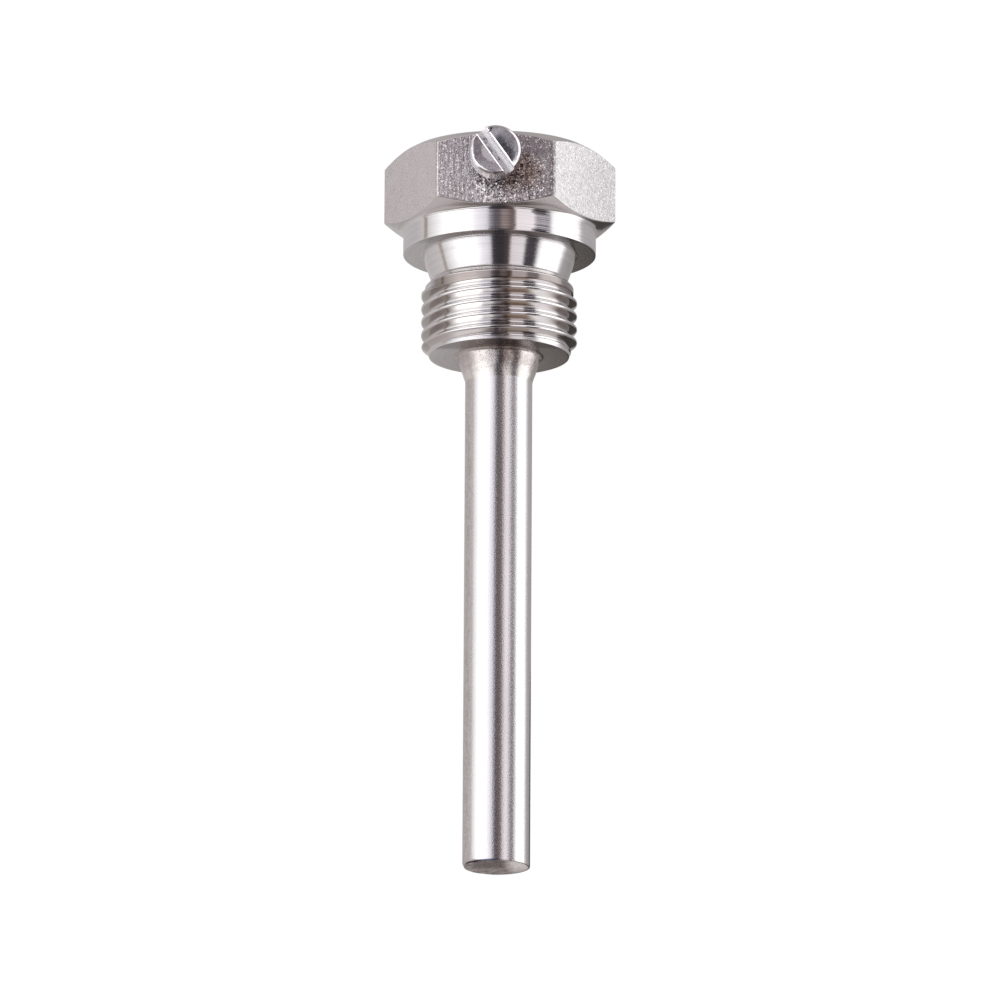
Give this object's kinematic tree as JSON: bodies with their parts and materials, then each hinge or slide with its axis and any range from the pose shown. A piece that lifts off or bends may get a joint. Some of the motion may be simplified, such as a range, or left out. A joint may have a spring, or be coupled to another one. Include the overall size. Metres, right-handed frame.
{
  "type": "thermowell",
  "caption": "Screw-in thermowell: hexagon head with sealing collar and parallel pipe thread, closed tubular stem welded on below, and a slotted clamp screw in one flat.",
  "frame": {"origin": "centre of the sealing face under the collar, on the bore axis", "axes": "+Z along the probe bore out of its mouth, -Y out through the flat that holds the clamp screw"},
  "size_m": [0.0312, 0.0317, 0.0982],
  "materials": {
    "turned_steel": "turned and polished, flats bead blasted",
    "tube_steel": "satin, drawn tube with fine cross scratches",
    "weld_steel": "dressed weld, mottled",
    "screw_steel": "bright, faint turning rings"
  },
  "bodies": {
    "well": {"head": "turned_steel", "stem_tube": "tube_steel", "root_weld": "weld_steel", "tip_plug": "weld_steel"},
    "clamp_screw": {"clamp_screw": "screw_steel"}
  },
  "joints": [
    {"name": "clamp_screw_travel", "type": "slide", "parent": "well", "child": "clamp_screw", "axis": [0, -1, 0], "range_m": [-0.00205, 0.006]}
  ]
}
